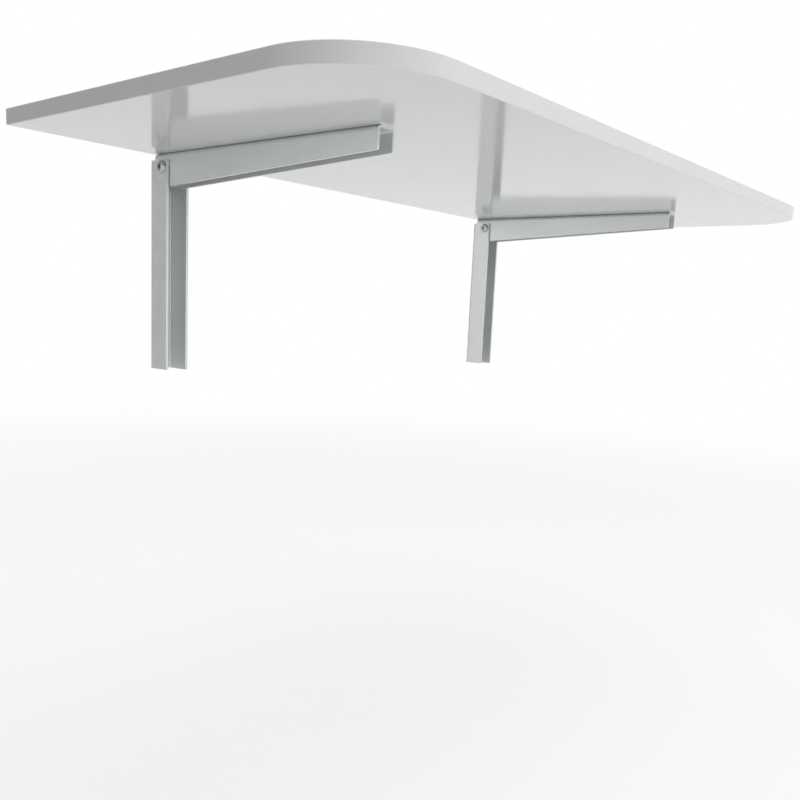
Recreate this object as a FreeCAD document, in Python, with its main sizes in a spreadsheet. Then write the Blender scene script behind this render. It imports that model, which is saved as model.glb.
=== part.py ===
import FreeCAD, Part
import math
import os
from types import SimpleNamespace
import Sketcher

# Wall-mounted drop-leaf table: a laminated board on two folding steel brackets.
# X runs along the wall, the wall is the plane Y = 0, the leaf reaches towards -Y, Z is up.
# The origin is the centre of the four outer wall-screw holes. Millimetres and degrees.

doc = FreeCAD.newDocument("drop_leaf_table")

driving_dimensions = {
    # leaf
    "TopWidth": 1000,
    "TopDepth": 500,
    "TopThickness": 16,
    "TopCornerRadius": 97,
    "LaminateThickness": 0.8,
    "BandThickness": 1,
    "BandArris": 0.6,
    "UndersideHeight": 145,      # underside of the open leaf above the origin
    # folded steel channels
    "BracketSpacing": 640,
    "PostThickness": 3,
    "PostBendRadius": 1.5,       # bend radii are on the inside of the fold
    "PostWidth": 30,
    "PostDepth": 33,
    "PostTopGap": 8,             # from the leaf's underside down to the post's top
    "PostDrop": 248,             # from the leaf's underside down to the post's bottom
    "PostCornerRadius": 2.5,
    "ArmThickness": 2.5,
    "ArmBendRadius": 2.5,
    "ArmWidth": 22.6,
    "ArmRearGap": 5,
    "ArmReach": 355,
    "ArmTipHeight": 22.2,
    "TipCornerRadius": 1.5,
    # hinge
    "HingeSetback": 16,          # hinge axis to wall
    "HingeDrop": 28.3,           # hinge axis to the leaf's underside
    "HingePinRadius": 4,
    "RunningClearance": 0.05,
    "HubRadius": 9.9,
    "SpacerRadius": 7,
    "SpacerEndGap": 0.3,
    "WasherRadius": 7.5,
    "WasherThickness": 0.4,
    # stop bolt, an M8 button head, forward of the hinge and above it
    "StopAngle": 52,
    "SleeveRadius": 5,
    "SleeveGap": 0.3,
    "BoltRadius": 4,
    "BoltHeadRadius": 7,
    "BoltHeadHeight": 4.4,
    "BoltShoulderRadius": 6.1,   # where the dome's side turns into its top
    "BoltShoulderHeight": 2.5,
    "BoltFaceRadius": 3.6,       # flat round the socket
    "SocketWidth": 5,            # across flats
    "SocketDepth": 2.6,
    "BoltEndLength": 1.5,        # thread standing past the nut
    "NutWidth": 13,              # across flats
    "NutHexHeight": 5.6,
    "NutCollarHeight": 2.4,
    "NutCollarRadius": 5.6,
    # screws
    "WallHoleRadius": 2.75,
    "WallHoleSpan": 170,
    "ScrewCount": 3,
    "ScrewFirst": 60,            # first leaf screw to wall
    "ScrewPitch": 120,
    "ScrewRadius": 2,
    "ScrewLength": 14,           # under the head
    "ScrewHoleRadius": 2.25,
    "ScrewHeadRadius": 4.2,
    "ScrewHeadHeight": 2.4,
    "ScrewHeadTaper": 0.8,
}

sheet = doc.addObject("Spreadsheet::Sheet", "Sizes")
for row, (alias, number) in enumerate(driving_dimensions.items(), start=1):
    sheet.set(f"A{row}", str(number))
    sheet.setAlias(f"A{row}", alias)
doc.recompute()


class Size:
    """A size, kept as its present value and as the expression that gets it from the sheet."""

    def __init__(self, value, text):
        self.value = float(value)
        self.text = text

    def join(self, sign, other, value):
        return Size(value, f"({self.text} {sign} {as_size(other).text})")

    def __add__(self, other):
        return self.join("+", other, self.value + as_size(other).value)

    def __sub__(self, other):
        return self.join("-", other, self.value - as_size(other).value)

    def __mul__(self, other):
        return self.join("*", other, self.value * as_size(other).value)

    def __truediv__(self, other):
        return self.join("/", other, self.value / as_size(other).value)

    def __neg__(self):
        return Size(-self.value, f"(-1 * {self.text})")


def as_size(number):
    return number if isinstance(number, Size) else Size(number, str(number))


def cosine(angle):
    return Size(math.cos(math.radians(angle.value)), f"cos({angle.text} * 1 deg)")


def sine(angle):
    return Size(math.sin(math.radians(angle.value)), f"sin({angle.text} * 1 deg)")


d = SimpleNamespace(**{
    alias: Size(number, f"Sizes.{alias}")
    for alias, number in driving_dimensions.items()
})

# places that several pieces share
hinge_y = -d.HingeSetback
hinge_z = d.UndersideHeight - d.HingeDrop
slot_end_radius = d.SleeveRadius + d.SleeveGap
stop_distance = d.HubRadius + slot_end_radius
stop_y = hinge_y - stop_distance * cosine(d.StopAngle)
stop_z = hinge_z + stop_distance * sine(d.StopAngle)
post_inside = d.PostWidth - d.PostThickness * 2
arm_inside = d.ArmWidth - d.ArmThickness * 2
sides = {"left": -1, "right": 1}

part_objects = {}


def bind(thing, prop, size):
    thing.setExpression(prop, as_size(size).text)


def place(thing, x=None, y=None, z=None):
    for axis, size in (("x", x), ("y", y), ("z", z)):
        if size is not None:
            bind(thing, f"Placement.Base.{axis}", size)


def new_body(label):
    body = doc.addObject("PartDesign::Body", label)
    body.Label = label
    body.AllowCompound = True
    return body


def origin_feature(body, role):
    return next(feature for feature in body.Origin.OriginFeatures if feature.Role == role)


def new_sketch(body, name, plane, height=None):
    sketch = body.newObject("Sketcher::SketchObject", name)
    sketch.AttachmentSupport = [(origin_feature(body, plane), "")]
    sketch.MapMode = "FlatFace"
    if height is not None:
        bind(sketch, "AttachmentOffset.Base.z", height)
    return sketch


def dimension(sketch, size, kind, *places):
    """Add one dimension to a sketch and bind it to the sheet."""
    size = as_size(size)
    index = sketch.addConstraint(Sketcher.Constraint(kind, *places, size.value))
    if "Sizes." in size.text:
        sketch.setExpression(f"Constraints[{index}]", size.text)


def locate(sketch, geometry, point, x, y):
    dimension(sketch, x, "DistanceX", -1, 1, geometry, point)
    dimension(sketch, y, "DistanceY", -1, 1, geometry, point)


def draw_polygon(sketch, corners):
    """A closed loop of lines with every corner dimensioned from the origin."""
    first = sketch.GeometryCount
    count = len(corners)
    spots = [FreeCAD.Vector(as_size(x).value, as_size(y).value, 0) for x, y in corners]
    for start, end in zip(spots, spots[1:] + spots[:1]):
        sketch.addGeometry(Part.LineSegment(start, end))
    for i in range(count):
        sketch.addConstraint(Sketcher.Constraint("Coincident", first + i, 2, first + (i + 1) % count, 1))
    for i, (x, y) in enumerate(corners):
        locate(sketch, first + i, 1, x, y)


def draw_rectangle(sketch, low_x, high_x, low_y, high_y):
    draw_polygon(sketch, [(low_x, low_y), (high_x, low_y), (high_x, high_y), (low_x, high_y)])


def draw_circle(sketch, x, y, radius):
    centre = FreeCAD.Vector(as_size(x).value, as_size(y).value, 0)
    index = sketch.addGeometry(Part.Circle(centre, FreeCAD.Vector(0, 0, 1), radius.value))
    locate(sketch, index, 3, x, y)
    dimension(sketch, radius, "Radius", index)


def pad(body, sketch, length, symmetric=False):
    feature = body.newObject("PartDesign::Pad", f"{sketch.Name}_pad")
    feature.Profile = sketch
    feature.SideType = "Symmetric" if symmetric else "One side"
    bind(feature, "Length", length)
    sketch.Visibility = False
    doc.recompute()
    return feature


def pocket(body, sketch, depth=None, reversed_side=False):
    """Cut a sketch through everything both ways, or to a depth one way, and check that it cuts."""
    volume = body.Shape.Volume
    feature = body.newObject("PartDesign::Pocket", f"{sketch.Name}_pocket")
    feature.Profile = sketch
    if depth is None:
        feature.Type = "ThroughAll"
        feature.SideType = "Symmetric"
    else:
        bind(feature, "Length", depth)
        feature.Reversed = reversed_side
    sketch.Visibility = False
    doc.recompute()
    if not body.Shape.Volume < volume - 1e-3:
        raise ValueError(f"{feature.Name} cuts nothing")
    return feature


def edges_where(shape, test):
    return [f"Edge{i}" for i, edge in enumerate(shape.Edges, start=1) if test(edge)]


def runs_along(edge, axis):
    if len(edge.Vertexes) != 2 or edge.Curve.TypeId != "Part::GeomLine":
        return False
    run = edge.Vertexes[1].Point - edge.Vertexes[0].Point
    return abs(getattr(run, axis)) > 0.999 * run.Length


def passes(edge, **spot):
    return all(abs(getattr(edge.CenterOfMass, axis) - value) < 1e-3 for axis, value in spot.items())


def dress(body, base, kind, size_name, edges, size, expected):
    """Fillet or chamfer the edges given by name, after counting them."""
    if len(edges) != expected:
        raise ValueError(f"{base.Name}: {len(edges)} edges to dress, not {expected}")
    feature = body.newObject(f"PartDesign::{kind}", f"{base.Name}_{kind.lower()}")
    feature.Base = (base, edges)
    bind(feature, size_name, size)
    doc.recompute()
    return feature


def fillet(body, base, edges, radius, expected):
    return dress(body, base, "Fillet", "Radius", edges, radius, expected)


def chamfer(body, base, edges, size, expected):
    return dress(body, base, "Chamfer", "Size", edges, size, expected)


def cut(label, base, tool):
    result = doc.addObject("Part::Cut", label)
    result.Base = base
    result.Tool = tool
    doc.recompute()
    if not result.Shape.Volume < base.Shape.Volume - 1e-3:
        raise ValueError(f"{label} cuts nothing")
    return result


def keep(label, thing):
    thing.Label = label
    part_objects[label] = thing


def leaf_outline(label, inset, low, height):
    """A board with two rounded front corners, inset from the leaf's outline by the edging."""
    body = new_body(label)
    sketch = new_sketch(body, f"{label}_outline", "XY_Plane", low)
    half_width = d.TopWidth / 2 - inset
    draw_rectangle(sketch, -half_width, half_width, -(d.TopDepth - inset), -as_size(inset))
    blank = pad(body, sketch, height)
    front = -(d.TopDepth - inset).value
    corners = edges_where(blank.Shape, lambda edge: runs_along(edge, "z") and passes(edge, y=front))
    fillet(body, blank, corners, d.TopCornerRadius - inset, 2)
    return body


def screw_places():
    for side in sides.values():
        for number in range(driving_dimensions["ScrewCount"]):
            yield d.BracketSpacing * side / 2, -(d.ScrewFirst + d.ScrewPitch * number)


def drill_for_screws(body, height, depth):
    sketch = new_sketch(body, f"{body.Name}_screw_holes", "XY_Plane", height)
    for x, y in screw_places():
        draw_circle(sketch, x, y, d.ScrewRadius)
    pocket(body, sketch, depth, reversed_side=True)


def make_leaf():
    core_low = d.UndersideHeight + d.LaminateThickness
    core_height = d.TopThickness - d.LaminateThickness * 2
    screw_in_core = d.ScrewLength - d.ArmThickness - d.LaminateThickness
    core = leaf_outline("board_core", d.BandThickness, core_low, core_height)
    drill_for_screws(core, core_low, screw_in_core)
    keep("board_core", core)

    underside = leaf_outline(
        "underside_laminate", d.BandThickness, d.UndersideHeight, d.LaminateThickness)
    drill_for_screws(underside, d.UndersideHeight, d.LaminateThickness)
    keep("underside_laminate", underside)

    top_low = d.UndersideHeight + d.TopThickness - d.LaminateThickness
    top = leaf_outline("top_laminate", d.BandThickness, top_low, d.LaminateThickness)
    keep("top_laminate", top)


def make_edge_band():
    """The edging runs all round the board and covers the edges of both laminates."""
    outside = leaf_outline("edge_band_outside", 0, d.UndersideHeight, d.TopThickness)
    faces = (d.UndersideHeight.value, (d.UndersideHeight + d.TopThickness).value)
    rounded = outside.Tip
    rims = edges_where(rounded.Shape, lambda edge: any(passes(edge, z=face) for face in faces))
    chamfer(outside, rounded, rims, d.BandArris, 12)
    inside = leaf_outline("edge_band_inside", d.BandThickness, d.UndersideHeight, d.TopThickness)
    keep("edge_band", cut("edge_band", outside, inside))


def bend_channel(body, base, axis, radius, thickness, outer, inner):
    """Round the two outside and the two inside edges of the folds of a channel."""
    outer_edges = edges_where(
        base.Shape,
        lambda edge: runs_along(edge, axis) and any(passes(edge, **spot) for spot in outer),
    )
    rounded = fillet(body, base, outer_edges, radius + thickness, 2)
    inner_edges = edges_where(
        rounded.Shape,
        lambda edge: runs_along(edge, axis) and any(passes(edge, **spot) for spot in inner),
    )
    return fillet(body, rounded, inner_edges, radius, 2)


def make_wall_channel(name, side):
    """The post: a channel that is open to the front, with its web on the wall."""
    body = new_body(f"{name}_wall_channel")
    low = d.UndersideHeight - d.PostDrop
    high = d.UndersideHeight - d.PostTopGap

    flank = new_sketch(body, f"{name}_post_flank", "YZ_Plane")
    draw_rectangle(flank, -d.PostDepth, 0, low, high)
    blank = pad(body, flank, d.PostWidth, symmetric=True)
    top_front = edges_where(
        blank.Shape,
        lambda edge: runs_along(edge, "x") and passes(edge, y=-d.PostDepth.value, z=high.value),
    )
    cornered = fillet(body, blank, top_front, d.PostCornerRadius, 1)

    inside = new_sketch(body, f"{name}_post_inside", "XY_Plane")
    half = post_inside / 2
    draw_rectangle(inside, -half, half, -(d.PostDepth + 1), -d.PostThickness)
    hollow = pocket(body, inside)
    bend_channel(
        body, hollow, "z", d.PostBendRadius, d.PostThickness,
        outer=[{"x": edge * d.PostWidth.value / 2, "y": 0} for edge in (-1, 1)],
        inner=[{"x": edge * half.value, "y": -d.PostThickness.value} for edge in (-1, 1)],
    )

    bearings = new_sketch(body, f"{name}_post_bearings", "YZ_Plane")
    draw_circle(bearings, hinge_y, hinge_z, d.HingePinRadius)
    draw_circle(bearings, stop_y, stop_z, d.BoltRadius)
    pocket(body, bearings)

    wall_holes = new_sketch(body, f"{name}_wall_holes", "XZ_Plane")
    for step in (-1, 0, 1):
        draw_circle(wall_holes, 0, d.WallHoleSpan * step / 2, d.WallHoleRadius)
    pocket(body, wall_holes)
    place(body, x=d.BracketSpacing * side / 2)
    keep(f"{name}_wall_channel", body)


def draw_arm_flank(sketch):
    """The arm's outline from the side: a straight top, a tapered lower edge, a round hub at the
    hinge and, over the hub, a curved slot that opens to the rear and ends in front at the stop bolt."""
    top = d.UndersideHeight
    tip_centre_z = top - d.ArmTipHeight + d.TipCornerRadius
    hub = FreeCAD.Vector(hinge_y.value, hinge_z.value, 0)
    stop = FreeCAD.Vector(stop_y.value, stop_z.value, 0)
    tip_centre = FreeCAD.Vector((d.TipCornerRadius - d.ArmReach).value, tip_centre_z.value, 0)
    up = FreeCAD.Vector(0, 0, 1)
    corner_radius = d.TipCornerRadius.value
    inner_radius = d.HubRadius.value
    end_radius = slot_end_radius.value
    outer_radius = inner_radius + 2 * end_radius
    rear_y = -d.ArmRearGap.value
    slot_mouth = math.acos((rear_y - hub.x) / outer_radius)
    slot_stop = math.radians(180 - d.StopAngle.value)

    # the lower edge touches the tip's corner and the hub in the same direction from their centres
    span = hub - tip_centre
    lean = math.asin((inner_radius - corner_radius) / span.Length)
    below = math.atan2(span.y, span.x) - math.pi / 2 - lean

    def from_centre(centre, angle, radius):
        return centre + FreeCAD.Vector(math.cos(angle), math.sin(angle), 0) * radius

    def line(start, end):
        return sketch.addGeometry(Part.LineSegment(start, end))

    def arc(centre, radius, start, end):
        return sketch.addGeometry(Part.ArcOfCircle(Part.Circle(centre, up, radius), start, end))

    top_rear = FreeCAD.Vector(rear_y, top.value, 0)
    top_front = FreeCAD.Vector(-d.ArmReach.value, top.value, 0)
    upper = line(top_rear, top_front)
    tip = line(top_front, from_centre(tip_centre, math.pi, corner_radius))
    corner = arc(tip_centre, corner_radius, math.pi, below + 2 * math.pi)
    lower = line(from_centre(tip_centre, below, corner_radius), from_centre(hub, below, inner_radius))
    hub_arc = arc(hub, inner_radius, below, slot_stop)
    slot_end = arc(stop, end_radius, slot_stop, slot_stop + math.pi)
    slot_arc = arc(hub, outer_radius, slot_mouth, slot_stop)
    rear = line(from_centre(hub, slot_mouth, outer_radius), top_rear)

    for joint in ((upper, 2, tip, 1), (slot_arc, 1, rear, 1), (rear, 2, upper, 1)):
        sketch.addConstraint(Sketcher.Constraint("Coincident", *joint))
    for joint in ((tip, 2, corner, 1), (corner, 2, lower, 1), (lower, 2, hub_arc, 1),
                  (hub_arc, 2, slot_end, 2), (slot_end, 1, slot_arc, 2)):
        sketch.addConstraint(Sketcher.Constraint("Tangent", *joint))
    sketch.addConstraint(Sketcher.Constraint("Coincident", slot_arc, 3, hub_arc, 3))
    sketch.addConstraint(Sketcher.Constraint("Horizontal", upper))
    sketch.addConstraint(Sketcher.Constraint("Vertical", tip))
    sketch.addConstraint(Sketcher.Constraint("Vertical", rear))
    locate(sketch, upper, 1, -d.ArmRearGap, top)
    dimension(sketch, -d.ArmReach, "DistanceX", -1, 1, upper, 2)
    dimension(sketch, tip_centre_z, "DistanceY", -1, 1, corner, 3)
    dimension(sketch, d.TipCornerRadius, "Radius", corner)
    locate(sketch, hub_arc, 3, hinge_y, hinge_z)
    dimension(sketch, d.HubRadius, "Radius", hub_arc)
    dimension(sketch, slot_end_radius, "Radius", slot_end)
    dimension(sketch, stop_y, "DistanceX", -1, 1, slot_end, 3)


def make_arm_channel(name, side):
    """The arm: a channel that is open below, nested between the post's flanges."""
    body = new_body(f"{name}_arm_channel")
    flank = new_sketch(body, f"{name}_arm_flank", "YZ_Plane")
    draw_arm_flank(flank)
    pad(body, flank, d.ArmWidth, symmetric=True)

    inside = new_sketch(body, f"{name}_arm_inside", "XZ_Plane")
    half = arm_inside / 2
    web_low = d.UndersideHeight - d.ArmThickness
    draw_rectangle(inside, -half, half, hinge_z - d.HubRadius - 1, web_low)
    hollow = pocket(body, inside)
    web_high = d.UndersideHeight.value
    bend_channel(
        body, hollow, "y", d.ArmBendRadius, d.ArmThickness,
        outer=[{"x": edge * d.ArmWidth.value / 2, "z": web_high} for edge in (-1, 1)],
        inner=[{"x": edge * half.value, "z": web_low.value} for edge in (-1, 1)],
    )

    bearing = new_sketch(body, f"{name}_arm_bearing", "YZ_Plane")
    draw_circle(bearing, hinge_y, hinge_z, d.HingePinRadius + d.RunningClearance)
    pocket(body, bearing)

    screw_holes = new_sketch(body, f"{name}_arm_screw_holes", "XY_Plane")
    for number in range(driving_dimensions["ScrewCount"]):
        draw_circle(screw_holes, 0, -(d.ScrewFirst + d.ScrewPitch * number), d.ScrewHoleRadius)
    pocket(body, screw_holes)
    place(body, x=d.BracketSpacing * side / 2)
    keep(f"{name}_arm_channel", body)


def revolve(body, sketch, axis):
    feature = body.newObject("PartDesign::Revolution", f"{sketch.Name}_turned")
    feature.Profile = sketch
    feature.ReferenceAxis = (origin_feature(body, axis), [""])
    feature.Angle = 360
    sketch.Visibility = False
    doc.recompute()
    return feature


def turned_body(label, profile):
    """Revolve a half profile, given as (distance along X, radius), about the X axis."""
    body = new_body(label)
    sketch = new_sketch(body, f"{label}_profile", "XZ_Plane")
    draw_polygon(sketch, profile)
    revolve(body, sketch, "X_Axis")
    return body


def place_on(body, side, y, z):
    place(body, x=d.BracketSpacing * side / 2, y=y, z=z)


def make_tube(label, side, y, z, length, outer_radius, inner_radius):
    half = length / 2
    body = turned_body(label, [
        (-half, inner_radius), (half, inner_radius), (half, outer_radius), (-half, outer_radius)])
    place_on(body, side, y, z)
    keep(label, body)


def make_hinge(name, side):
    """A pin riveted flush into the post, a spacer inside the arm and a shim washer on each side."""
    end = d.PostWidth / 2
    pin = turned_body(f"{name}_hinge_pin", [
        (-end, 0), (end, 0), (end, d.HingePinRadius), (-end, d.HingePinRadius)])
    place_on(pin, side, hinge_y, hinge_z)
    keep(f"{name}_hinge_pin", pin)

    length = arm_inside - d.SpacerEndGap * 2
    make_tube(f"{name}_hinge_spacer", side, hinge_y, hinge_z, length, d.SpacerRadius, d.HingePinRadius)

    washers = new_body(f"{name}_hinge_washers")
    for face, direction in (("outer", -1), ("inner", 1)):
        ring = new_sketch(washers, f"{name}_{face}_washer", "YZ_Plane", (post_inside / 2) * direction)
        draw_circle(ring, 0, 0, d.WasherRadius)
        draw_circle(ring, 0, 0, d.HingePinRadius)
        disc = pad(washers, ring, d.WasherThickness)
        disc.Reversed = direction > 0
    place_on(washers, side, hinge_y, hinge_z)
    doc.recompute()
    keep(f"{name}_hinge_washers", washers)


# turns a primitive that stands on XY so that it points along X
along_x = FreeCAD.Placement(FreeCAD.Vector(), FreeCAD.Rotation(FreeCAD.Vector(0, 1, 0), 90))


def hexagon_prism(label, across_flats, height):
    prism = doc.addObject("Part::Prism", label)
    prism.Polygon = 6
    prism.Placement = along_x
    bind(prism, "Circumradius", across_flats / math.sqrt(3))
    bind(prism, "Height", height)
    return prism


def make_stop_bolt(name, side):
    """A button-head bolt across the post, with its head on the post's left flank."""
    face = d.PostWidth / 2
    rim = -face - d.BoltHeadHeight
    end = face + d.NutHexHeight + d.NutCollarHeight + d.BoltEndLength
    body = turned_body(f"{name}_bolt_blank", [
        (rim, 0), (end, 0), (end, d.BoltRadius), (-face, d.BoltRadius), (-face, d.BoltHeadRadius),
        (-face - d.BoltShoulderHeight, d.BoltShoulderRadius), (rim, d.BoltFaceRadius)])
    place_on(body, side, stop_y, stop_z)
    socket = hexagon_prism(f"{name}_bolt_socket", d.SocketWidth, d.SocketDepth)
    place(socket, x=d.BracketSpacing * side / 2 + rim, y=stop_y, z=stop_z)
    keep(f"{name}_stop_bolt", cut(f"{name}_stop_bolt", body, socket))

    make_tube(f"{name}_stop_sleeve", side, stop_y, stop_z, post_inside, d.SleeveRadius, d.BoltRadius)


def make_stop_nut(name, side):
    """A lock nut: a hexagon with a round collar, on the post's right flank."""
    x = d.BracketSpacing * side / 2 + d.PostWidth / 2
    hexagon = hexagon_prism(f"{name}_nut_hexagon", d.NutWidth, d.NutHexHeight)
    collar = doc.addObject("Part::Cone", f"{name}_nut_collar")
    bore = doc.addObject("Part::Cylinder", f"{name}_nut_bore")
    for piece in (collar, bore):
        piece.Placement = along_x
    bind(collar, "Radius1", d.NutCollarRadius)
    bind(collar, "Radius2", d.NutCollarRadius - d.NutCollarHeight / 2)
    bind(collar, "Height", d.NutCollarHeight)
    bind(bore, "Radius", d.BoltRadius)
    bind(bore, "Height", d.NutHexHeight + d.NutCollarHeight)
    place(hexagon, x=x, y=stop_y, z=stop_z)
    place(collar, x=x + d.NutHexHeight, y=stop_y, z=stop_z)
    place(bore, x=x, y=stop_y, z=stop_z)
    blank = doc.addObject("Part::Fuse", f"{name}_nut_blank")
    blank.Base = hexagon
    blank.Tool = collar
    doc.recompute()
    keep(f"{name}_stop_nut", cut(f"{name}_stop_nut", blank, bore))


def make_arm_screws(name, side):
    """Pan-head screws up through the arm's web into the board, one body of separate solids."""
    body = new_body(f"{name}_arm_screws")
    seat = d.UndersideHeight - d.ArmThickness
    rim = seat - d.ScrewHeadHeight
    profile = new_sketch(body, f"{name}_screw_profile", "XZ_Plane")
    draw_polygon(profile, [
        (0, rim), (d.ScrewHeadRadius - d.ScrewHeadTaper, rim), (d.ScrewHeadRadius, seat),
        (d.ScrewRadius, seat), (d.ScrewRadius, seat + d.ScrewLength), (0, seat + d.ScrewLength)])
    screw = revolve(body, profile, "Z_Axis")

    row = body.newObject("PartDesign::LinearPattern", f"{name}_screw_row")
    row.Originals = [screw]
    row.Direction = (origin_feature(body, "Y_Axis"), [""])
    row.Reversed = True
    bind(row, "Length", d.ScrewPitch * (d.ScrewCount - 1))
    bind(row, "Occurrences", d.ScrewCount)
    body.Tip = row
    place(body, x=d.BracketSpacing * side / 2, y=-d.ScrewFirst)
    doc.recompute()
    if len(body.Shape.Solids) != driving_dimensions["ScrewCount"]:
        raise ValueError(f"{body.Label} has {len(body.Shape.Solids)} screws")
    keep(f"{name}_arm_screws", body)


make_leaf()
make_edge_band()
for side_name, side_sign in sides.items():
    make_wall_channel(side_name, side_sign)
    make_arm_channel(side_name, side_sign)
    make_hinge(side_name, side_sign)
    make_stop_bolt(side_name, side_sign)
    make_stop_nut(side_name, side_sign)
    make_arm_screws(side_name, side_sign)
doc.recompute()

for thing in doc.Objects:
    if "Invalid" in thing.State or "Error" in thing.State:
        raise RuntimeError(f"{thing.Label}: {thing.State}")
    if thing.TypeId == "Sketcher::SketchObject" and not thing.FullyConstrained:
        raise RuntimeError(f"{thing.Label} is not fully constrained")
for label, thing in part_objects.items():
    if thing.Shape.isNull() or not thing.Shape.isValid() or not thing.Shape.Solids:
        raise RuntimeError(f"{label} has no valid solid")

os.makedirs("parts", exist_ok=True)
for label, thing in part_objects.items():
    thing.Shape.exportStep(f"parts/{label}.step")
    box = thing.Shape.BoundBox
    print(f"{label}: {len(thing.Shape.Solids)} solid(s), {thing.Shape.Volume / 1000:.2f} cm3, "
          f"{box.XLength:.1f} x {box.YLength:.1f} x {box.ZLength:.1f} mm")
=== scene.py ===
import math

import bpy
from mathutils import Matrix, Vector


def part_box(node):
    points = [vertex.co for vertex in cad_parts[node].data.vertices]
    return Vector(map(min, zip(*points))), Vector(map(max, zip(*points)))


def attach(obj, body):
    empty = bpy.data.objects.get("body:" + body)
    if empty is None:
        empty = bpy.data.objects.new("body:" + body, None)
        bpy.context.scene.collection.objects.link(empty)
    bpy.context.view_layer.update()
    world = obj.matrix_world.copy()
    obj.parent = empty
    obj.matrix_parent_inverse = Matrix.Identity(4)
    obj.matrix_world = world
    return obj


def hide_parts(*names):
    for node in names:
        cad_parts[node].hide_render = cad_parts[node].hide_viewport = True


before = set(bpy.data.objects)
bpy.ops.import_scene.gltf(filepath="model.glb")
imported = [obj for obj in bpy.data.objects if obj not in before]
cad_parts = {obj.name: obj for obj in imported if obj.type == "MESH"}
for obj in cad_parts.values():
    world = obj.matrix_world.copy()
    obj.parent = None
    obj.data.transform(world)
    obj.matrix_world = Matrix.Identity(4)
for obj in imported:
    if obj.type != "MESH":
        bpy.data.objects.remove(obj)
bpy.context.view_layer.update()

# every size in the dictionaries of this file is in metres
sideNames = ("left", "right")
postPlaces = {"left": -0.32, "right": 0.32}    # where the middle of each post is in X
smoothAngle = math.radians(32)                 # edges that turn more than this stay crisp
noiseLow, noiseHigh = 0.3, 0.7                 # nearly all of a noise texture lies between these
pureWhite = (1, 1, 1, 1)


def linearColour(hexCode):
    # sRGB hex to the linear values that a shader socket takes
    parts = [int(hexCode[i:i + 2], 16) / 255 for i in (0, 2, 4)]
    linear = [c / 12.92 if c <= 0.04045 else ((c + 0.055) / 1.055) ** 2.4 for c in parts]
    return (*linear, 1.0)


def addNode(tree, kind, settings=None, inputs=None):
    # inputs are given by name or number, each a value or another node's output
    node = tree.nodes.new(kind)
    for name, value in (settings or {}).items():
        setattr(node, name, value)
    for name, value in (inputs or {}).items():
        if isinstance(value, bpy.types.NodeSocket):
            tree.links.new(value, node.inputs[name])
        else:
            node.inputs[name].default_value = value
    return node


def newMaterial(name):
    material = bpy.data.materials.new(name)
    material.use_nodes = True
    tree = material.node_tree
    tree.nodes.clear()
    shader = addNode(tree, "ShaderNodeBsdfPrincipled")
    addNode(tree, "ShaderNodeOutputMaterial", inputs={"Surface": shader.outputs["BSDF"]})
    return material, tree, shader


def deselectAll():
    if bpy.context.object and bpy.context.object.mode != "OBJECT":
        bpy.ops.object.mode_set(mode="OBJECT")
    bpy.ops.object.select_all(action="DESELECT")


def selectOnly(piece):
    deselectAll()
    piece.select_set(True)
    bpy.context.view_layer.objects.active = piece


laminate = {
    "colourDeep": "DADBDC",
    "colourPale": "E0E1E2",
    "cloudSize": 0.18,           # the slow change of shade over a panel
    "smearSize": 0.06,           # patches where the gloss is a little softer
    "peelSize": 0.005,           # the ripple of a pressed gloss sheet, drawn coarse enough to show
    "peelHeight": 0.000012,
    "roughLow": 0.07,
    "roughHigh": 0.14,
    "ior": 1.54,
}

# the same finish with smaller patterns, for the narrow band round the board
edging = {**laminate, "cloudSize": 0.06, "smearSize": 0.02, "peelSize": 0.003}


def makeGlossLaminate(name, values):
    # melamine laminate pressed against a polished plate: hard, pale and glossy, with a faint ripple
    material, tree, shader = newMaterial(name)
    place = addNode(tree, "ShaderNodeTexCoord").outputs["Object"]
    cloud = addNode(tree, "ShaderNodeTexNoise", inputs={
        "Vector": place, "Scale": 1 / values["cloudSize"], "Detail": 3.0, "Roughness": 0.55})
    shade = addNode(tree, "ShaderNodeMix", {"data_type": "RGBA"}, {
        "Factor": cloud.outputs["Fac"],
        "A": linearColour(values["colourDeep"]),
        "B": linearColour(values["colourPale"]),
    })
    smear = addNode(tree, "ShaderNodeTexNoise", inputs={
        "Vector": place, "Scale": 1 / values["smearSize"], "Detail": 5.0, "Roughness": 0.6})
    gloss = addNode(tree, "ShaderNodeMapRange", inputs={
        "Value": smear.outputs["Fac"], "From Min": noiseLow, "From Max": noiseHigh,
        "To Min": values["roughLow"], "To Max": values["roughHigh"]})
    peel = addNode(tree, "ShaderNodeTexNoise", inputs={
        "Vector": place, "Scale": 1 / values["peelSize"], "Detail": 2.0, "Roughness": 0.5})
    ripple = addNode(tree, "ShaderNodeBump", inputs={
        "Height": peel.outputs["Fac"], "Distance": values["peelHeight"], "Strength": 1.0})
    tree.links.new(shade.outputs["Result"], shader.inputs["Base Color"])
    tree.links.new(gloss.outputs["Result"], shader.inputs["Roughness"])
    tree.links.new(ripple.outputs["Normal"], shader.inputs["Normal"])
    shader.inputs["IOR"].default_value = values["ior"]
    return material


zincSteel = {
    "colourDark": "D5D9D8",
    "colourLight": "E4E7E6",
    "streakWidth": 0.0009,       # mill streaks, about a millimetre apart
    "streakLength": 0.12,
    "mottleSize": 0.02,          # the soft mottle of an electroplated zinc coat
    "streakShare": 0.5,          # how much of the pattern is streaks; the rest is mottle
    "patternLow": 0.35,          # nearly all of that pattern lies between these two
    "patternHigh": 0.65,
    "roughLow": 0.32,
    "roughHigh": 0.44,
    "grainHeight": 0.000006,
    "metallic": 0.6,             # the plating's fine crystals scatter part of the light like a paint
}


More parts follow.
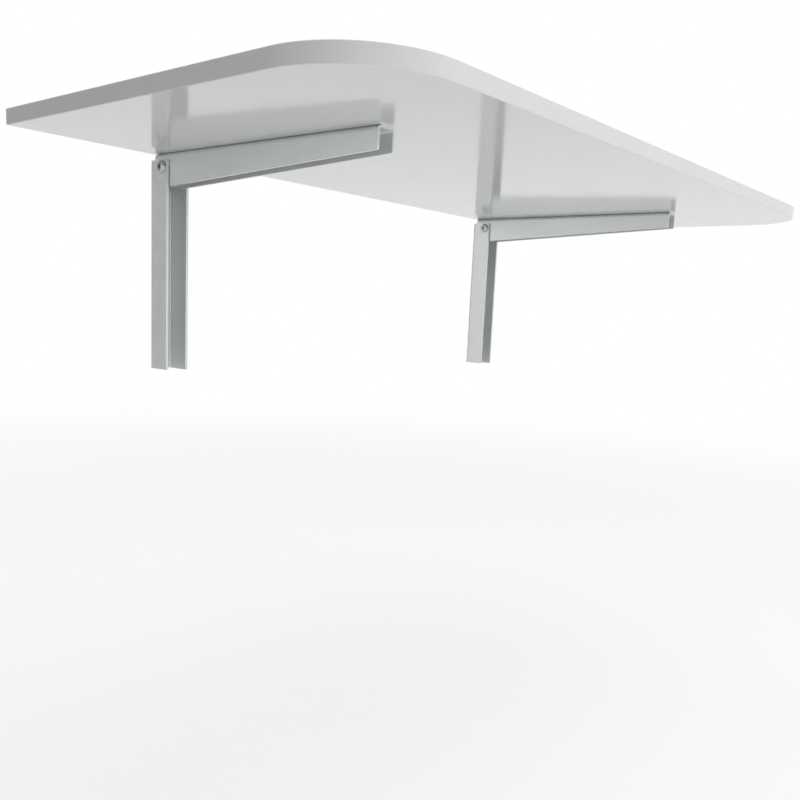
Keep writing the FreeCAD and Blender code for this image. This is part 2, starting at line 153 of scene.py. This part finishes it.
def makeZincSteel(name, values, lengthAxis):
    # rolled and folded sheet steel with a bright zinc plating: soft satin shine, slightly green-grey,
    # with faint streaks along the rolling direction
    material, tree, shader = newMaterial(name)
    place = addNode(tree, "ShaderNodeTexCoord").outputs["Object"]
    across = 1 / values["streakWidth"]
    along = 1 / values["streakLength"]
    scales = tuple(along if axis == lengthAxis else across for axis in "XYZ")
    stretched = addNode(tree, "ShaderNodeMapping", inputs={"Vector": place, "Scale": scales})
    streak = addNode(tree, "ShaderNodeTexNoise", inputs={
        "Vector": stretched.outputs["Vector"], "Scale": 1.0, "Detail": 3.0, "Roughness": 0.6})
    mottle = addNode(tree, "ShaderNodeTexNoise", inputs={
        "Vector": place, "Scale": 1 / values["mottleSize"], "Detail": 4.0, "Roughness": 0.6})
    mottlePart = addNode(tree, "ShaderNodeMath", {"operation": "MULTIPLY"}, {
        0: mottle.outputs["Fac"], 1: 1 - values["streakShare"]})
    pattern = addNode(tree, "ShaderNodeMath", {"operation": "MULTIPLY_ADD"}, {
        0: streak.outputs["Fac"], 1: values["streakShare"], 2: mottlePart.outputs["Value"]})
    shade = addNode(tree, "ShaderNodeMix", {"data_type": "RGBA"}, {
        "Factor": pattern.outputs["Value"],
        "A": linearColour(values["colourDark"]),
        "B": linearColour(values["colourLight"]),
    })
    rough = addNode(tree, "ShaderNodeMapRange", inputs={
        "Value": pattern.outputs["Value"],
        "From Min": values["patternLow"], "From Max": values["patternHigh"],
        "To Min": values["roughLow"], "To Max": values["roughHigh"]})
    grain = addNode(tree, "ShaderNodeBump", inputs={
        "Height": streak.outputs["Fac"], "Distance": values["grainHeight"], "Strength": 1.0})
    tree.links.new(shade.outputs["Result"], shader.inputs["Base Color"])
    tree.links.new(rough.outputs["Result"], shader.inputs["Roughness"])
    tree.links.new(grain.outputs["Normal"], shader.inputs["Normal"])
    shader.inputs["Metallic"].default_value = values["metallic"]
    return material


fastenerSteel = {
    "colourDark": "A8ABAB",
    "colourLight": "BEC1C1",
    "grainSize": 0.0012,
    "roughLow": 0.22,
    "roughHigh": 0.36,
    "metallic": 1.0,
}


def makeFastenerSteel(name, values):
    # cold-headed steel with a thin zinc plating, a little darker and finer than the sheet
    material, tree, shader = newMaterial(name)
    place = addNode(tree, "ShaderNodeTexCoord").outputs["Object"]
    grain = addNode(tree, "ShaderNodeTexNoise", inputs={
        "Vector": place, "Scale": 1 / values["grainSize"], "Detail": 4.0, "Roughness": 0.6})
    shade = addNode(tree, "ShaderNodeMix", {"data_type": "RGBA"}, {
        "Factor": grain.outputs["Fac"],
        "A": linearColour(values["colourDark"]),
        "B": linearColour(values["colourLight"]),
    })
    rough = addNode(tree, "ShaderNodeMapRange", inputs={
        "Value": grain.outputs["Fac"], "From Min": noiseLow, "From Max": noiseHigh,
        "To Min": values["roughLow"], "To Max": values["roughHigh"]})
    tree.links.new(shade.outputs["Result"], shader.inputs["Base Color"])
    tree.links.new(rough.outputs["Result"], shader.inputs["Roughness"])
    shader.inputs["Metallic"].default_value = values["metallic"]
    return material


nylon = {
    "colourDark": "CFCDC2",
    "colourLight": "DEDCD2",
    "cloudSize": 0.004,
    "roughness": 0.45,
    "ior": 1.53,
}


def makeMouldedNylon(name, values):
    # natural injection-moulded nylon: milky, waxy and slightly warm
    material, tree, shader = newMaterial(name)
    place = addNode(tree, "ShaderNodeTexCoord").outputs["Object"]
    cloud = addNode(tree, "ShaderNodeTexNoise", inputs={
        "Vector": place, "Scale": 1 / values["cloudSize"], "Detail": 2.0})
    shade = addNode(tree, "ShaderNodeMix", {"data_type": "RGBA"}, {
        "Factor": cloud.outputs["Fac"],
        "A": linearColour(values["colourDark"]),
        "B": linearColour(values["colourLight"]),
    })
    tree.links.new(shade.outputs["Result"], shader.inputs["Base Color"])
    shader.inputs["Roughness"].default_value = values["roughness"]
    shader.inputs["IOR"].default_value = values["ior"]
    return material


chipboard = {
    "colourDark": "8A6A45",
    "colourLight": "CDB084",
    "chipSize": 0.003,
    "pitDepth": 0.0003,
    "pitStrength": 0.6,
    "roughness": 0.8,
}


def makeChipboard(name, values):
    # pressed wood particles, about three millimetres across, bare and dry
    material, tree, shader = newMaterial(name)
    place = addNode(tree, "ShaderNodeTexCoord").outputs["Object"]
    chips = addNode(tree, "ShaderNodeTexVoronoi", inputs={
        "Vector": place, "Scale": 1 / values["chipSize"]})
    tone = addNode(tree, "ShaderNodeSeparateColor", inputs={"Color": chips.outputs["Color"]})
    shade = addNode(tree, "ShaderNodeMix", {"data_type": "RGBA"}, {
        "Factor": tone.outputs["Red"],
        "A": linearColour(values["colourDark"]),
        "B": linearColour(values["colourLight"]),
    })
    pits = addNode(tree, "ShaderNodeBump", inputs={
        "Height": chips.outputs["Distance"],
        "Distance": values["pitDepth"], "Strength": values["pitStrength"]})
    tree.links.new(shade.outputs["Result"], shader.inputs["Base Color"])
    tree.links.new(pits.outputs["Normal"], shader.inputs["Normal"])
    shader.inputs["Roughness"].default_value = values["roughness"]
    return material


glossLaminate = makeGlossLaminate("whiteGlossLaminate", laminate)
glossEdging = makeGlossLaminate("whiteGlossEdging", edging)
zincPost = makeZincSteel("zincPlatedPostSteel", zincSteel, "Z")
zincArm = makeZincSteel("zincPlatedArmSteel", zincSteel, "Y")
platedFastener = makeFastenerSteel("zincPlatedFastener", fastenerSteel)
platedPin = makeZincSteel("zincPlatedPin", zincSteel, "X")
mouldedNylon = makeMouldedNylon("mouldedNylon", nylon)
bareChipboard = makeChipboard("bareChipboard", chipboard)

finishes = {
    # how a node's name ends, and its finish
    "top_laminate": glossLaminate,
    "underside_laminate": glossLaminate,
    "edge_band": glossEdging,
    "board_core": bareChipboard,
    "wall_channel": zincPost,
    "arm_channel": zincArm,
    "hinge_pin": platedPin,        # riveted flush and plated with the post
    "stop_bolt": platedFastener,
    "stop_sleeve": platedFastener,
    "stop_nut": platedFastener,
    "arm_screws": platedFastener,
    "hinge_spacer": mouldedNylon,
    "hinge_washers": mouldedNylon,
}

for nodeName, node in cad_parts.items():
    finish = next(material for ending, material in finishes.items() if nodeName.endswith(ending))
    node.data.materials.clear()
    node.data.materials.append(finish)
    selectOnly(node)
    bpy.ops.object.shade_smooth_by_angle(angle=smoothAngle)
print("finishes on", len(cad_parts), "solid parts")


lyingAlongX = (0, math.radians(90), 0)    # how a new cylinder is turned
upright = (0, 0, 0)
squareOn = 0.9             # a face looks along an axis when more than this share of its normal does
slack = 0.00002            # an edge is at a place when it is nearer to it than this
mergeDistance = 0.000004   # points nearer to each other than this become one
cutterLength = 3           # a cutter is this many times as long as what it goes through


def editMesh(piece):
    selectOnly(piece)
    bpy.ops.object.mode_set(mode="EDIT")
    bpy.ops.mesh.select_all(action="DESELECT")


def startPick(piece):
    bpy.ops.object.mode_set(mode="OBJECT")
    for group in (piece.data.vertices, piece.data.edges, piece.data.polygons):
        group.foreach_set("select", [False] * len(group))


def pickFaces(piece, axis, way):
    # select the faces that look along an axis, forwards with 1 and backwards with -1
    startPick(piece)
    turned = piece.matrix_world.to_3x3()
    for face in piece.data.polygons:
        normal = (turned @ face.normal).normalized()
        face.select = normal["xyz".index(axis)] * way > squareOn
    bpy.ops.object.mode_set(mode="EDIT")
    bpy.context.tool_settings.mesh_select_mode = (False, False, True)


def pickEdges(piece, axis, value):
    # select the edges that lie at one place along an axis
    startPick(piece)
    mesh = piece.data
    for edge in mesh.edges:
        ends = [piece.matrix_world @ mesh.vertices[i].co for i in edge.vertices]
        edge.select = all(abs(end["xyz".index(axis)] - value) < slack for end in ends)
    bpy.ops.object.mode_set(mode="EDIT")
    bpy.context.tool_settings.mesh_select_mode = (False, True, False)


def drawOut(x=0, z=0):
    # extrude the picked face by a distance
    bpy.ops.mesh.extrude_region_move(TRANSFORM_OT_translate={"value": (x, 0, z)})


def addCylinder(name, sides, radius, depth, place, turn=lyingAlongX):
    deselectAll()
    bpy.ops.mesh.primitive_cylinder_add(
        vertices=sides, radius=radius, depth=depth, location=place, rotation=turn)
    piece = bpy.context.object
    piece.name = name
    return piece


def cutWith(piece, tool, operation):
    # a boolean cut or intersection with a helper mesh that is deleted afterwards
    selectOnly(piece)
    modifier = piece.modifiers.new("cut", "BOOLEAN")
    modifier.operation = operation
    modifier.solver = "EXACT"
    modifier.object = tool
    bpy.ops.object.modifier_apply(modifier="cut")
    selectOnly(tool)
    bpy.ops.object.delete()
    selectOnly(piece)


def settle(piece, finish):
    # the place goes into the mesh, the normals point outwards, and the finish goes on
    selectOnly(piece)
    bpy.ops.object.transform_apply(location=True, rotation=True, scale=True)
    bpy.ops.object.mode_set(mode="EDIT")
    bpy.ops.mesh.select_all(action="SELECT")
    bpy.ops.mesh.remove_doubles(threshold=mergeDistance)
    bpy.ops.mesh.normals_make_consistent(inside=False)
    bpy.ops.object.mode_set(mode="OBJECT")
    bpy.ops.object.shade_smooth_by_angle(angle=smoothAngle)
    piece.data.materials.clear()
    piece.data.materials.append(finish)


def copyAlong(piece, name, move):
    # a second piece with a mesh of its own
    twin = piece.copy()
    twin.data = piece.data.copy()
    twin.name = name
    bpy.context.scene.collection.objects.link(twin)
    twin.location = move
    selectOnly(twin)
    bpy.ops.object.transform_apply(location=True, rotation=False, scale=False)
    return twin


def onAxis(x, values):
    # a place on the axis of a bolt or pin in the left bracket, x from the post's middle
    return (postPlaces["left"] + x, values["across"], values["up"])


stopBolt = {
    "across": -0.02536,            # the bolt's axis in Y and Z
    "up": 0.12868,
    "flank": 0.015,                # half the post's width
    "headRadius": 0.007,
    "headHeight": 0.0044,
    "dome": 0.0033,                # how far the button head's rim is rounded
    "domeSteps": 7,
    "socketWidth": 0.005,          # across flats
    "socketDepth": 0.0026,
    "drillInset": 0.0004,          # the drill point at the bottom of the socket
    "drillDepth": 0.0005,
    "shankRadius": 0.004,
    "threadRoot": 0.00345,
    "threadPitch": 0.00125,
    "end": 0.0245,                 # how far the threaded end reaches from the post's middle
    "endTaper": 0.0006,            # at least this much of the end has no thread and is tapered
    "endShare": 0.86,              # the end's width, as a share of the width before it
    "rings": 56,
}


def makeStopBolt(values, name, finish):
    # a button-head bolt with a hexagon socket, in at the post's left side
    headEnd = -values["flank"] - values["headHeight"]
    headMiddle = -values["flank"] - values["headHeight"] / 2
    bolt = addCylinder(
        name, values["rings"], values["headRadius"], values["headHeight"], onAxis(headMiddle, values))
    editMesh(bolt)

    # shank and threaded end, drawn out of the head's inner face
    pickFaces(bolt, "x", 1)
    bpy.ops.mesh.inset(thickness=values["headRadius"] - values["shankRadius"])
    drawOut(x=values["flank"] * 2)
    place = values["flank"]
    half = values["threadPitch"] / 2
    reach = values["end"] - values["endTaper"]
    shrink = values["threadRoot"] / values["shankRadius"]
    atCrest = True
    while place + half <= reach:
        drawOut(x=half)
        factor = shrink if atCrest else 1 / shrink
        bpy.ops.transform.resize(value=(1, factor, factor))
        atCrest = not atCrest
        place += half
    drawOut(x=values["end"] - place)
    bpy.ops.transform.resize(value=(1, values["endShare"], values["endShare"]))

    # the button head's dome
    pickEdges(bolt, "x", postPlaces["left"] + headEnd)
    bpy.ops.mesh.bevel(offset=values["dome"], segments=values["domeSteps"])

    socket = addCylinder(
        "socketCutter", 6, values["socketWidth"] / math.sqrt(3), values["socketDepth"] * 2,
        onAxis(headEnd, values))
    editMesh(socket)
    pickFaces(socket, "x", 1)
    bpy.ops.mesh.inset(thickness=values["drillInset"])
    bpy.ops.transform.translate(value=(values["drillDepth"], 0, 0))
    bpy.ops.object.mode_set(mode="OBJECT")
    cutWith(bolt, socket, "DIFFERENCE")
    settle(bolt, finish)
    return bolt


lockNut = {
    "width": 0.013,                # across flats
    "hexHeight": 0.0056,
    "chamfer": 0.0007,             # height of the 30 degree chamfer on the hexagon's corners
    "chamferRadius": 0.0062,
    "collarRadius": 0.0056,
    "collarHeight": 0.0024,
    "collarTurn": 0.0007,          # the collar's rim is rolled in over the nylon ring
    "collarSteps": 4,
    "seatShare": 0.7,              # how deep the ring's seat is, as a share of the collar's height
    "ringRadius": 0.0048,          # the ring fills its seat
    "ringShare": 0.6,              # how thick the ring is, as a share of the same height
    "ringSink": 0.0003,            # how far it lies below the rim
    "ringEdge": 0.0002,
    "ringEdgeSteps": 2,
    "boreGap": 0.00002,            # between the bore and the bolt
    "rings": 56,
}


def makeLockNut(values, bolt, name, finish):
    # a lock nut on the bolt's end, against the post's right side
    corner = values["width"] / math.sqrt(3)
    hexMiddle = onAxis(bolt["flank"] + values["hexHeight"] / 2, bolt)
    nut = addCylinder(
        name, values["rings"], corner, values["hexHeight"] - 2 * values["chamfer"], hexMiddle)
    editMesh(nut)
    shrink = values["chamferRadius"] / corner
    for way in (-1, 1):
        pickFaces(nut, "x", way)
        drawOut(x=values["chamfer"] * way)
        bpy.ops.transform.resize(value=(1, shrink, shrink))

    # the collar, drawn out of the far face and rolled in at its rim, with the ring's seat inside
    bpy.ops.mesh.inset(thickness=values["chamferRadius"] - values["collarRadius"])
    drawOut(x=values["collarHeight"] - values["collarTurn"])
    radius = values["collarRadius"]
    risen = 0
    for step in range(1, values["collarSteps"] + 1):
        angle = math.radians(90 * step / values["collarSteps"])
        rise = values["collarTurn"] * math.sin(angle) - risen
        newRadius = values["collarRadius"] - values["collarTurn"] * (1 - math.cos(angle))
        drawOut(x=rise)
        bpy.ops.transform.resize(value=(1, newRadius / radius, newRadius / radius))
        radius = newRadius
        risen += rise
    bpy.ops.mesh.inset(thickness=radius - values["ringRadius"])
    drawOut(x=-values["collarHeight"] * values["seatShare"])

    length = values["hexHeight"] + values["collarHeight"]
    middle = onAxis(bolt["flank"] + length / 2, bolt)
    hexagon = addCylinder("hexagonCutter", 6, corner, length * cutterLength, middle)
    cutWith(nut, hexagon, "INTERSECT")
    bore = addCylinder(
        "boreCutter", values["rings"], bolt["shankRadius"] + values["boreGap"],
        length * cutterLength, middle)
    cutWith(nut, bore, "DIFFERENCE")
    settle(nut, finish)
    return nut


def makeNylonRing(values, bolt, name, finish):
    # the ring in the lock nut's collar, which grips the bolt
    top = bolt["flank"] + values["hexHeight"] + values["collarHeight"] - values["ringSink"]
    depth = values["collarHeight"] * values["ringShare"]
    middle = onAxis(top - depth / 2, bolt)
    ring = addCylinder(name, values["rings"], values["ringRadius"], depth, middle)
    editMesh(ring)
    pickEdges(ring, "x", postPlaces["left"] + top)
    bpy.ops.mesh.bevel(offset=values["ringEdge"], segments=values["ringEdgeSteps"])
    bore = addCylinder(
        "boreCutter", values["rings"], bolt["shankRadius"] + values["boreGap"],
        depth * cutterLength, middle)
    cutWith(ring, bore, "DIFFERENCE")
    settle(ring, finish)
    return ring


hingePin = {
    "across": -0.016,              # the pin's axis in Y and Z
    "up": 0.1167,
    "radius": 0.004,
    "halfLength": 0.015,           # both ends are flush with the post
    "peenedRadius": 0.0026,
    "peenedDip": 0.00015,
    "groove": 0.0003,              # the fine ring that stays round a peened end
    "grooveSteps": 2,
    "rings": 48,
}


def makeHingePin(values, name, finish):
    # a shouldered rivet: its ends are peened flush into the post's sides
    pin = addCylinder(
        name, values["rings"], values["radius"], values["halfLength"] * 2, onAxis(0, values))
    editMesh(pin)
    for way in (-1, 1):
        pickFaces(pin, "x", way)
        bpy.ops.mesh.inset(thickness=values["radius"] - values["peenedRadius"])
        bpy.ops.transform.translate(value=(-values["peenedDip"] * way, 0, 0))
        pickEdges(pin, "x", postPlaces["left"] + values["halfLength"] * way)
        bpy.ops.mesh.bevel(offset=values["groove"], segments=values["grooveSteps"])
    settle(pin, finish)
    return pin


armScrew = {
    "headRadius": 0.0042,
    "headHeight": 0.0024,
    "dome": 0.0013,
    "domeSteps": 5,
    "crossSpan": 0.0062,
    "crossWidth": 0.0015,
    "crossDepth": 0.0015,
    "crossShare": 0.45,            # the recess's size at its bottom, as a share of that at its mouth
    "shankRadius": 0.002,
    "length": 0.014,
    "pointLength": 0.003,
    "pointShare": 0.12,            # the blunt point's width, as a share of the shank's
    "first": 0.060,                # from the wall to the first screw
    "pitch": 0.120,
    "count": 3,
    "seat": 0.1425,                # the web's lower face
    "rings": 40,
}


def makeArmScrew(values, name, finish):
    # a pan-head wood screw with a cross recess, driven up from below
    x = postPlaces["left"]
    y = -values["first"]
    headBottom = values["seat"] - values["headHeight"]
    headMiddle = values["seat"] - values["headHeight"] / 2
    screw = addCylinder(
        name, values["rings"], values["headRadius"], values["headHeight"], (x, y, headMiddle), upright)
    editMesh(screw)
    pickFaces(screw, "z", 1)
    bpy.ops.mesh.inset(thickness=values["headRadius"] - values["shankRadius"])
    drawOut(z=values["length"] - values["pointLength"])
    drawOut(z=values["pointLength"])
    bpy.ops.transform.resize(value=(values["pointShare"], values["pointShare"], 1))
    pickEdges(screw, "z", headBottom)
    bpy.ops.mesh.bevel(offset=values["dome"], segments=values["domeSteps"])

    for degrees in (0, 90):
        deselectAll()
        bpy.ops.mesh.primitive_cube_add(
            size=1, location=(x, y, headBottom), rotation=(0, 0, math.radians(degrees)),
            scale=(values["crossSpan"], values["crossWidth"], values["crossDepth"] * 2))
        blade = bpy.context.object
        editMesh(blade)
        pickFaces(blade, "z", 1)
        bpy.ops.transform.resize(value=(values["crossShare"], values["crossShare"], 1))
        bpy.ops.object.mode_set(mode="OBJECT")
        cutWith(screw, blade, "DIFFERENCE")
    settle(screw, finish)
    return screw


def dressBrackets():
    shift = postPlaces["right"] - postPlaces["left"]
    bolt = makeStopBolt(stopBolt, "leftStopBolt", platedFastener)
    nut = makeLockNut(lockNut, stopBolt, "leftLockNut", platedFastener)
    ring = makeNylonRing(lockNut, stopBolt, "leftNutRing", mouldedNylon)
    pin = makeHingePin(hingePin, "leftHingePin", platedPin)
    onPosts = [
        # left piece, its name on the right, how the name of the node that it stands for ends, slot
        (bolt, "rightStopBolt", "stop_bolt", "fastener_steel"),
        (nut, "rightLockNut", "stop_nut", "fastener_steel"),
        (ring, "rightNutRing", "stop_nut", "nylon"),
        (pin, "rightHingePin", "hinge_pin", "fastener_steel"),
    ]
    for leftPiece, rightName, nodeEnding, slot in onPosts:
        rightPiece = copyAlong(leftPiece, rightName, (shift, 0, 0))
        for sideName, piece in zip(sideNames, (leftPiece, rightPiece)):
            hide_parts(f"{sideName}_{nodeEnding}")
            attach(piece, "brackets")
    print("hinge pins, stop bolts and lock nuts in place")

    first = makeArmScrew(armScrew, "leftArmScrew1", platedFastener)
    for sideName, moveX in zip(sideNames, (0, shift)):
        for number in range(armScrew["count"]):
            if sideName == "left" and number == 0:
                screw = first
            else:
                move = (moveX, -armScrew["pitch"] * number, 0)
                screw = copyAlong(first, f"{sideName}ArmScrew{number + 1}", move)
            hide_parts(f"{sideName}_arm_screws")
            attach(screw, "leaf")
    print("arm screws in place")


dressBrackets()


stageValues = {
    "floorDrop": 0.75,           # the leaf's top is this far above the floor
    "floorRadius": 30,
    "floorSides": 96,
    "floorColour": "EDEDED",
    "floorRoughness": 0.9,
    "floorSheen": 0.1,           # specular level
    "fadeStart": 1.0,            # the floor turns into plain white between these two distances
    "fadeEnd": 4.0,
    "paleShare": 0.80,           # how far the seen floor is lifted towards white near the table
    "ambient": 0.21,             # the world's own light, where neither the camera nor gloss sees it
    "dimSide": (-0.35, 0.937, 0.0),  # reflections see a dimmer studio towards this direction
    "dimStrength": 0.22,
    "dimNear": 14,               # degrees from that direction: dim up to here, plain white past the next
    "dimFar": 42,
}


def studioShade(tree, place, values):
    # 1 for what the camera sees; reflections see the same white, but dimmer towards one side
    direction = addNode(tree, "ShaderNodeVectorMath", {"operation": "NORMALIZE"}, {"Vector": place})
    towards = addNode(tree, "ShaderNodeVectorMath", {"operation": "DOT_PRODUCT"}, {
        0: direction.outputs["Vector"], 1: values["dimSide"]})
    dimming = addNode(tree, "ShaderNodeMapRange", {"interpolation_type": "SMOOTHSTEP"}, {
        "Value": towards.outputs["Value"],
        "From Min": math.cos(math.radians(values["dimFar"])),
        "From Max": math.cos(math.radians(values["dimNear"])),
        "To Min": 1.0, "To Max": values["dimStrength"]})
    rays = addNode(tree, "ShaderNodeLightPath")
    mirrored = addNode(tree, "ShaderNodeMath", {"operation": "MULTIPLY"}, {
        0: rays.outputs["Is Glossy Ray"], 1: dimming.outputs["Result"]})
    seen = addNode(tree, "ShaderNodeMath", {"operation": "MAXIMUM"}, {
        0: rays.outputs["Is Camera Ray"], 1: mirrored.outputs["Value"]})
    return seen.outputs["Value"]


def makeFloor(values):
    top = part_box("top_laminate")[1].z
    deselectAll()
    bpy.ops.mesh.primitive_circle_add(
        vertices=values["floorSides"], radius=values["floorRadius"], fill_type="NGON",
        location=(0, 0, top - values["floorDrop"]))
    floor = bpy.context.object
    floor.name = "studioFloor"
    material, tree, shader = newMaterial("paleStudioFloor")
    shader.inputs["Base Color"].default_value = linearColour(values["floorColour"])
    shader.inputs["Roughness"].default_value = values["floorRoughness"]
    shader.inputs["Specular IOR Level"].default_value = values["floorSheen"]
    place = addNode(tree, "ShaderNodeTexCoord").outputs["Object"]
    distance = addNode(tree, "ShaderNodeVectorMath", {"operation": "LENGTH"}, {"Vector": place})
    fade = addNode(tree, "ShaderNodeMapRange", {"interpolation_type": "SMOOTHSTEP"}, {
        "Value": distance.outputs["Value"],
        "From Min": values["fadeStart"], "From Max": values["fadeEnd"],
        "To Min": values["paleShare"]})
    share = addNode(tree, "ShaderNodeMath", {"operation": "MULTIPLY"}, {
        0: fade.outputs["Result"], 1: studioShade(tree, place, values)})
    white = addNode(tree, "ShaderNodeEmission", inputs={"Color": pureWhite, "Strength": 1.0})
    mixed = addNode(tree, "ShaderNodeMixShader", inputs={
        "Fac": share.outputs["Value"], 1: shader.outputs["BSDF"], 2: white.outputs["Emission"]})
    output = next(node for node in tree.nodes if node.type == "OUTPUT_MATERIAL")
    tree.links.new(mixed.outputs["Shader"], output.inputs["Surface"])
    floor.data.materials.append(material)


def makeWorld(values):
    world = bpy.data.worlds.new("studioWhite")
    bpy.context.scene.world = world
    world.use_nodes = True
    tree = world.node_tree
    tree.nodes.clear()
    direction = addNode(tree, "ShaderNodeTexCoord").outputs["Generated"]
    strength = addNode(tree, "ShaderNodeMapRange", inputs={
        "Value": studioShade(tree, direction, values), "To Min": values["ambient"], "To Max": 1.0})
    background = addNode(tree, "ShaderNodeBackground", inputs={
        "Color": pureWhite, "Strength": strength.outputs["Result"]})
    addNode(tree, "ShaderNodeOutputWorld", inputs={"Surface": background.outputs["Background"]})


lamps = {
    # name: place, aim, width, height, watts, whether glossy surfaces mirror it
    "topSoftbox": ((0.6, -0.9, 2.7), (0.1, -0.4, -0.4), 2.6, 2.6, 71, False),
    "frontSoftbox": ((-0.6, -2.9, -0.05), (-0.5, -0.3, 0.05), 3.4, 1.8, 40, False),
    "sideSoftbox": ((-5.3, 2.7, 0.2), (0.3, -0.1, 0.0), 2.0, 2.0, 12, True),
    "rearFill": ((-0.8, 2.8, 1.0), (0, -0.2, 0.1), 1.8, 1.8, 18, False),
}


def makeLamps(values):
    for name, (place, aim, width, height, watts, mirrored) in values.items():
        light = bpy.data.lights.new(name, "AREA")
        light.shape = "RECTANGLE"
        light.size = width
        light.size_y = height
        light.energy = watts
        lamp = bpy.data.objects.new(name, light)
        lamp.location = place
        lamp.rotation_euler = (Vector(aim) - Vector(place)).to_track_quat("-Z", "Y").to_euler()
        lamp.visible_camera = False
        lamp.visible_glossy = mirrored
        bpy.context.scene.collection.objects.link(lamp)


cameraValues = {
    "place": (-0.92156, -0.9017, -0.02319),
    "azimuth": -50.98,           # degrees; 0 looks along +Y
    "elevation": 8.92,           # degrees that it looks down
    "roll": 2.89,
    "lens": 38.19,               # millimetres, as the sensor
    "sensor": 36,
    "shift": (-0.0261, 0.0596),
    "nearest": 0.01,
    "farthest": 100,
}


def makeCamera(values):
    data = bpy.data.cameras.new("studioCamera")
    data.sensor_width = values["sensor"]
    data.lens = values["lens"]
    data.shift_x, data.shift_y = values["shift"]
    data.clip_start = values["nearest"]
    data.clip_end = values["farthest"]
    camera = bpy.data.objects.new("studioCamera", data)
    turn = Matrix.Rotation(math.radians(values["azimuth"]), 4, "Z")
    tilt = Matrix.Rotation(math.radians(90 - values["elevation"]), 4, "X")
    roll = Matrix.Rotation(math.radians(values["roll"]), 4, "Z")
    camera.matrix_world = Matrix.Translation(values["place"]) @ turn @ tilt @ roll
    bpy.context.scene.collection.objects.link(camera)
    bpy.context.scene.camera = camera


makeFloor(stageValues)
makeWorld(stageValues)
makeLamps(lamps)
makeCamera(cameraValues)
bpy.context.scene.view_settings.view_transform = "Standard"
print("stage, lamps and camera in place")
